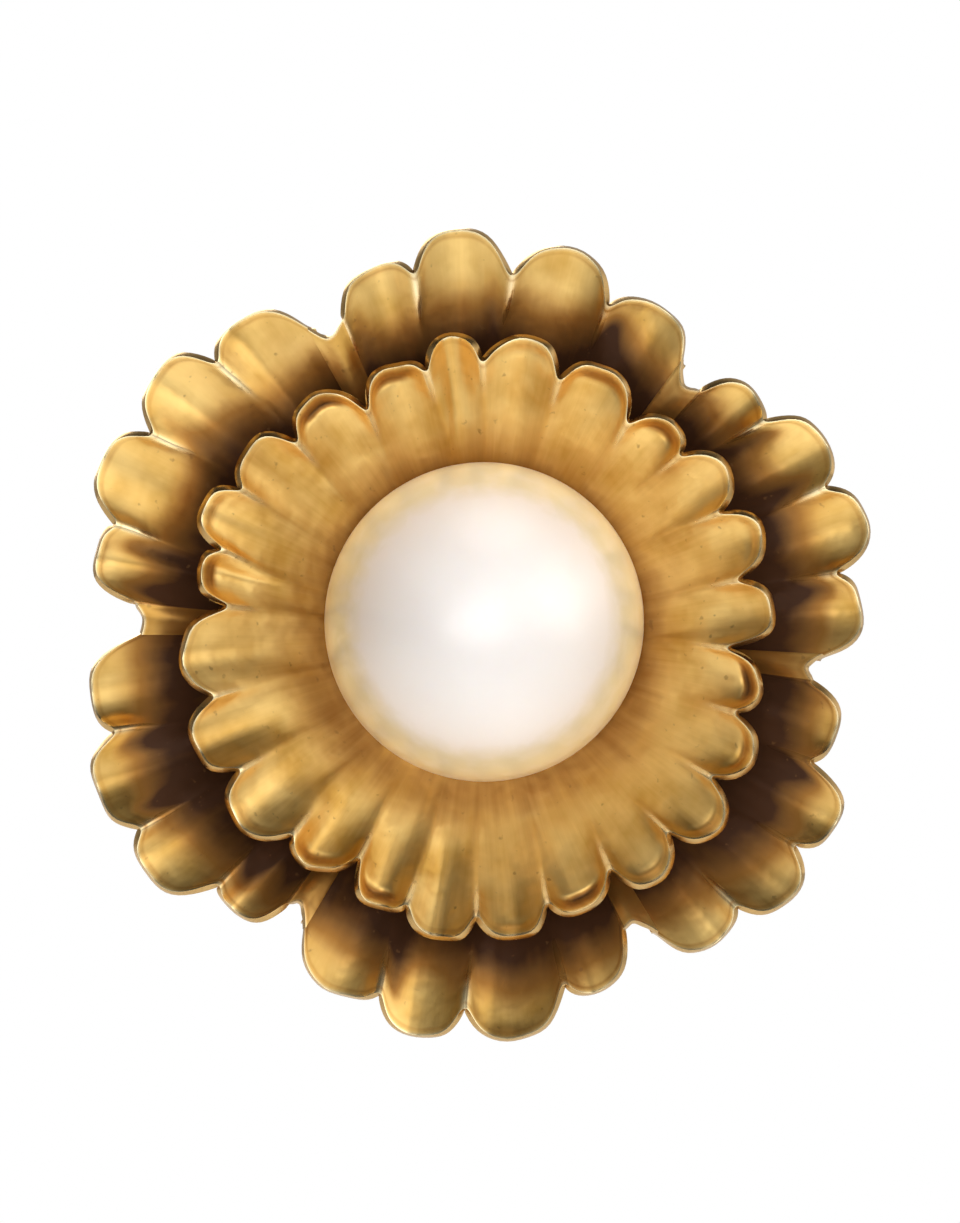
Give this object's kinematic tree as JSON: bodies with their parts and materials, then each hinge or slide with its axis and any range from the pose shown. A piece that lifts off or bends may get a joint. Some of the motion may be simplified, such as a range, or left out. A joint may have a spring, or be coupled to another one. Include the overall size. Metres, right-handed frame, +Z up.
{
  "type": "brooch",
  "caption": "Flower brooch: a large pearl in a fluted gilt cup over a ring of lapping scalloped petals, with a hinged pin and a rolling safety catch on the back.",
  "frame": {"origin": "on the centre post's axis, at the back face of the back plate, where the garment lies", "axes": "+Z up as worn, the flower's face towards -Y, +Y out of the back into the garment, +X to the viewer's right"},
  "size_m": [0.0617, 0.0256, 0.0639],
  "materials": {
    "pearl_coat": "nacre lustre over a resin bead",
    "satin_gilt": "gilt, satin brushed along the flutes, rims polished, recesses dark",
    "gilt_findings": "gilt, polished",
    "pin_wire": "gilt steel wire, polished"
  },
  "bodies": {
    "flower": {"pearl": "pearl_coat", "centre_post": "gilt_findings", "pearl_pad": "gilt_findings", "inner_cup": "satin_gilt", "spacer_collar": "gilt_findings", "outer_petal_1": "satin_gilt", "outer_petal_2": "satin_gilt", "outer_petal_3": "satin_gilt", "outer_petal_4": "satin_gilt", "outer_petal_5": "satin_gilt", "outer_petal_6": "satin_gilt", "back_plate": "gilt_findings", "post_nut": "gilt_findings", "hinge_base": "gilt_findings", "hinge_rivet": "gilt_findings", "catch_base": "gilt_findings"},
    "pin": {"pin_stem": "pin_wire"},
    "safety_sleeve": {"catch_rotor": "gilt_findings"}
  },
  "joints": [
    {"name": "pin_hinge", "type": "hinge", "parent": "flower", "child": "pin", "pos_m": [-0.014, 0.0034, 0.007], "axis": [0, 0, 1], "range_deg": [0, 75]},
    {"name": "catch_roll", "type": "hinge", "parent": "flower", "child": "safety_sleeve", "pos_m": [0.0136, 0.0034, 0.007], "axis": [-1, 0, 0], "range_deg": [0, 100]}
  ]
}
